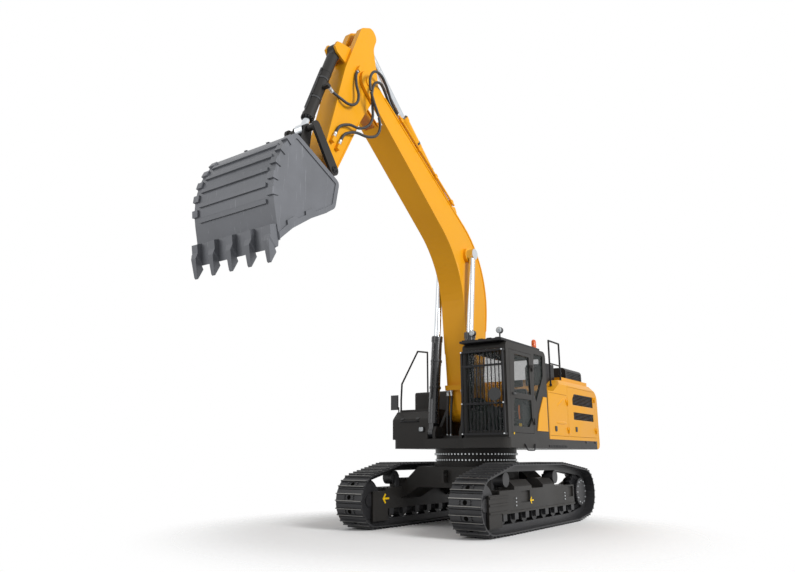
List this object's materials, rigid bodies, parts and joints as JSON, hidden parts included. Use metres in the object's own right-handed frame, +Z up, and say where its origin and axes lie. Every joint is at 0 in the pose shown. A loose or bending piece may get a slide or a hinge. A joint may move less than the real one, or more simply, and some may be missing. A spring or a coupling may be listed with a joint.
{
  "type": "crawler excavator",
  "caption": "Hydraulic crawler excavator with shoe tracks, a slewing upper body, a guarded cab, a raised boom, an arm and a toothed bucket.",
  "frame": {"origin": "on the ground below the middle of the overall box", "axes": "+X to the machine's front, +Y to its left, +Z up"},
  "size_m": [10.2446, 2.998, 8.916],
  "materials": {
    "yellow_paint": "gloss",
    "dark_grey_paint": "satin",
    "black_paint": "satin",
    "track_steel": "worn",
    "bucket_paint": "satin",
    "cylinder_black": "gloss",
    "rod_chrome": "polished",
    "glass": "clear",
    "seat_cloth": "woven",
    "moulded_plastic": "grained",
    "engine_paint": "matt",
    "hose_rubber": "matt",
    "beacon_plastic": "clear"
  },
  "bodies": {
    "undercarriage": {"car_body": "dark_grey_paint", "tow_lugs": "dark_grey_paint", "track_frame_left": "dark_grey_paint", "track_frame_right": "dark_grey_paint", "track_left": "track_steel", "track_right": "track_steel", "idlers": "track_steel", "sprockets": "track_steel", "bottom_rollers": "track_steel", "carrier_rollers": "track_steel", "bearing_lower": "dark_grey_paint"},
    "upper": {"bearing_upper": "dark_grey_paint", "main_frame": "dark_grey_paint", "counterweight": "yellow_paint", "engine": "engine_paint", "hood_frame": "yellow_paint", "cleaner_box": "black_paint", "tool_box": "dark_grey_paint", "fuel_tank": "dark_grey_paint", "handrails": "black_paint", "mirrors": "moulded_plastic", "cab_shell": "dark_grey_paint", "cab_glass": "glass", "front_guard": "black_paint", "roof_guard": "black_paint", "lamps": "moulded_plastic", "seat": "seat_cloth", "consoles": "moulded_plastic", "cab_side_panel": "yellow_paint", "beacon": "beacon_plastic", "foot_hose_1": "hose_rubber", "foot_hose_2": "hose_rubber", "foot_hose_3": "hose_rubber", "foot_hose_4": "hose_rubber"},
    "engine_hood": {"engine_hood": "yellow_paint", "hood_vent": "black_paint"},
    "left_front_door": {"left_front_door": "yellow_paint"},
    "left_rear_door": {"left_rear_door": "yellow_paint", "door_grilles": "black_paint"},
    "right_door": {"right_door": "yellow_paint"},
    "tool_box_lid": {"tool_box_lid": "dark_grey_paint"},
    "cab_door": {"cab_door": "dark_grey_paint", "door_glass": "glass"},
    "boom": {"boom": "yellow_paint", "boom_pipes": "yellow_paint", "boom_lamp": "moulded_plastic", "arm_hose_upper": "hose_rubber", "arm_hose_lower": "hose_rubber"},
    "boom_barrels": {"boom_barrels": "cylinder_black"},
    "boom_rods": {"boom_rods": "rod_chrome"},
    "arm": {"arm": "yellow_paint", "bucket_hose": "hose_rubber"},
    "arm_barrel": {"arm_barrel": "yellow_paint"},
    "arm_rod": {"arm_rod": "rod_chrome"},
    "bucket_barrel": {"bucket_barrel": "dark_grey_paint"},
    "bucket_rod": {"bucket_rod": "rod_chrome"},
    "rockers": {"rockers": "dark_grey_paint"},
    "h_link": {"h_link": "dark_grey_paint"},
    "bucket": {"bucket": "bucket_paint", "bucket_teeth": "bucket_paint"}
  },
  "joints": [
    {"name": "swing", "type": "hinge", "parent": "undercarriage", "child": "upper", "pos_m": [-1.57272, 0, 1.44], "axis": [0, 0, 1], "continuous": true},
    {"name": "boom", "type": "hinge", "parent": "upper", "child": "boom", "pos_m": [-1.21272, 0, 2.2], "axis": [0, -1, 0], "range_deg": [-95, 6], "deforming": ["foot_hose_1", "foot_hose_2", "foot_hose_3", "foot_hose_4"]},
    {"name": "arm", "type": "hinge", "parent": "boom", "child": "arm", "pos_m": [2.39811, 0, 7.739], "axis": [0, 1, 0], "range_deg": [-95, 22], "deforming": ["arm_hose_upper", "arm_hose_lower"]},
    {"name": "bucket", "type": "hinge", "parent": "arm", "child": "bucket", "pos_m": [3.51804, 0, 5.33728], "axis": [0, -1, 0], "range_deg": [-150, 8], "deforming": ["bucket_hose"]},
    {"name": "boom_cylinder_tilt", "type": "hinge", "parent": "upper", "child": "boom_barrels", "pos_m": [-0.56272, 0, 1.745], "axis": [0, -1, 0], "range_deg": [-98.52, 6.69]},
    {"name": "boom_rod_slide", "type": "slide", "parent": "boom_barrels", "child": "boom_rods", "axis": [-0.1068, 0, 0.9943], "range_m": [-1.1643, 0.0782]},
    {"name": "arm_cylinder_tilt", "type": "hinge", "parent": "boom", "child": "arm_barrel", "pos_m": [-0.67511, 0, 6.26954], "axis": [0, -1, 0], "range_deg": [-4, 1.31]},
    {"name": "arm_rod_slide", "type": "slide", "parent": "arm_barrel", "child": "arm_rod", "axis": [0.7671, 0, 0.6415], "range_m": [-1.4878, 0.3484]},
    {"name": "bucket_cylinder_tilt", "type": "hinge", "parent": "arm", "child": "bucket_barrel", "pos_m": [3.06356, 0, 8.09901], "axis": [0, -1, 0], "range_deg": [-5.5, 0.77]},
    {"name": "bucket_rod_slide", "type": "slide", "parent": "bucket_barrel", "child": "bucket_rod", "axis": [0.3692, 0, -0.9294], "range_m": [-0.0635, 1.1014]},
    {"name": "rocker_turn", "type": "hinge", "parent": "arm", "child": "rockers", "pos_m": [3.35341, 0, 5.69033], "axis": [0, -1, 0], "range_deg": [-102.6, 5.95]},
    {"name": "link_turn", "type": "hinge", "parent": "bucket", "child": "h_link", "pos_m": [3.86521, 0, 5.75043], "axis": [0, -1, 0], "range_deg": [-5.34, 91.26]},
    {"name": "cab_door", "type": "hinge", "parent": "upper", "child": "cab_door", "pos_m": [-1.20272, 1.483, 1.7], "axis": [0, 0, 1], "range_deg": [0, 165]},
    {"name": "left_front_door", "type": "hinge", "parent": "upper", "child": "left_front_door", "pos_m": [-2.93272, 1.483, 1.62], "axis": [0, 0, 1], "range_deg": [0, 110]},
    {"name": "left_rear_door", "type": "hinge", "parent": "upper", "child": "left_rear_door", "pos_m": [-4.60272, 1.483, 1.62], "axis": [0, 0, 1], "range_deg": [0, 110]},
    {"name": "right_door", "type": "hinge", "parent": "upper", "child": "right_door", "pos_m": [-4.60272, -1.483, 1.62], "axis": [0, 0, -1], "range_deg": [0, 110]},
    {"name": "engine_hood", "type": "hinge", "parent": "upper", "child": "engine_hood", "pos_m": [-4.57272, 0, 2.86], "axis": [0, -1, 0], "range_deg": [0, 65]},
    {"name": "tool_box_lid", "type": "hinge", "parent": "upper", "child": "tool_box_lid", "pos_m": [-1.54672, -1.465, 2.23], "axis": [0, -1, 0], "range_deg": [0, 80]}
  ],
  "couplings": [
    {"joint": "boom_cylinder_tilt", "follows": "boom", "ratio": 1.0318},
    {"joint": "boom_rod_slide", "follows": "boom", "m_per_rad": 0.69918},
    {"joint": "arm_cylinder_tilt", "follows": "arm", "ratio": 0.036842},
    {"joint": "arm_rod_slide", "follows": "arm", "m_per_rad": 0.89431},
    {"joint": "bucket_cylinder_tilt", "follows": "bucket", "ratio": 0.033333},
    {"joint": "bucket_rod_slide", "follows": "bucket", "m_per_rad": -0.41878},
    {"joint": "rocker_turn", "follows": "bucket", "ratio": 0.68068},
    {"joint": "link_turn", "follows": "bucket", "ratio": -0.60506}
  ]
}
